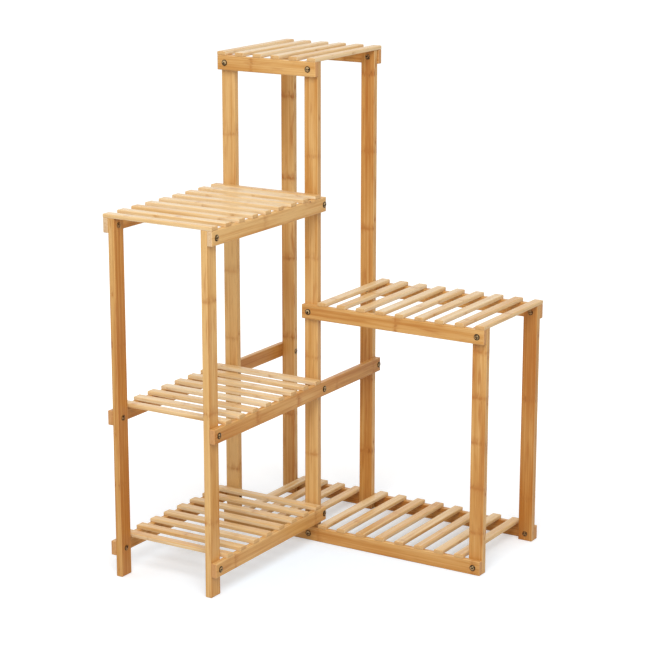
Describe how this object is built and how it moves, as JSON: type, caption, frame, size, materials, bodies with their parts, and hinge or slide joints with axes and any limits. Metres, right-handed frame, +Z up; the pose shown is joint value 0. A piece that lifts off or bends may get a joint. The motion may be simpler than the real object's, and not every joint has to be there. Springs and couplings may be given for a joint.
{
  "type": "corner plant shelf",
  "caption": "Tiered bamboo plant shelf for a room's corner: a tall tower with a wing to the front and a lower wing to the right, slatted shelves on bolted rails.",
  "frame": {"origin": "on the floor, below the middle of the whole shelf's bounding box", "axes": "+Z up; +X along the right wing; +Y to the back, towards the wall that the tower's back faces; the left wing runs forward along -Y"},
  "size_m": [0.626, 0.635, 1],
  "materials": {
    "bamboo_leg": "satin lacquer on laminated bamboo",
    "bamboo_rail": "satin lacquer on laminated bamboo",
    "bamboo_slat": "satin lacquer on solid bamboo strips",
    "bronze_bolt": "antique bronze plating",
    "bronze_nut": "antique bronze plating",
    "steel_brad": "plain steel"
  },
  "bodies": {
    "root": {"bottom_back_rail": "bamboo_rail", "bottom_front_rail": "bamboo_rail", "left_bottom_inner_rail": "bamboo_rail", "left_bottom_outer_rail": "bamboo_rail", "left_bottom_slats": "bamboo_slat", "left_middle_slats": "bamboo_slat", "left_upper_inner_rail": "bamboo_rail", "left_upper_outer_rail": "bamboo_rail", "left_upper_slat_1": "bamboo_slat", "left_upper_slat_2": "bamboo_slat", "left_upper_slat_3": "bamboo_slat", "left_upper_slat_4": "bamboo_slat", "left_upper_slat_5": "bamboo_slat", "left_upper_slat_6": "bamboo_slat", "left_upper_slat_7": "bamboo_slat", "left_upper_slat_8": "bamboo_slat", "left_upper_slat_9": "bamboo_slat", "left_wing_inner_leg": "bamboo_leg", "left_wing_outer_leg": "bamboo_leg", "long_bolts": "bronze_bolt", "middle_inner_rail": "bamboo_rail", "middle_outer_rail": "bamboo_rail", "right_bottom_slats": "bamboo_slat", "right_upper_back_rail": "bamboo_rail", "right_upper_front_rail": "bamboo_rail", "right_upper_slat_1": "bamboo_slat", "right_upper_slat_2": "bamboo_slat", "right_upper_slat_3": "bamboo_slat", "right_upper_slat_4": "bamboo_slat", "right_upper_slat_5": "bamboo_slat", "right_upper_slat_6": "bamboo_slat", "right_upper_slat_7": "bamboo_slat", "right_upper_slat_8": "bamboo_slat", "right_upper_slat_9": "bamboo_slat", "right_wing_back_leg": "bamboo_leg", "right_wing_front_leg": "bamboo_leg", "short_bolts": "bronze_bolt", "slat_brads": "steel_brad", "sleeve_nuts": "bronze_nut", "top_back_rail": "bamboo_rail", "top_front_rail": "bamboo_rail", "top_slat_1": "bamboo_slat", "top_slat_2": "bamboo_slat", "top_slat_3": "bamboo_slat", "top_slat_4": "bamboo_slat", "top_slat_5": "bamboo_slat", "top_slat_6": "bamboo_slat", "tower_back_left_leg": "bamboo_leg", "tower_back_right_leg": "bamboo_leg", "tower_foot_slat_1": "bamboo_slat", "tower_foot_slat_2": "bamboo_slat", "tower_foot_slat_3": "bamboo_slat", "tower_foot_slat_4": "bamboo_slat", "tower_front_left_leg": "bamboo_leg", "tower_front_right_leg": "bamboo_leg"}
  },
  "joints": []
}
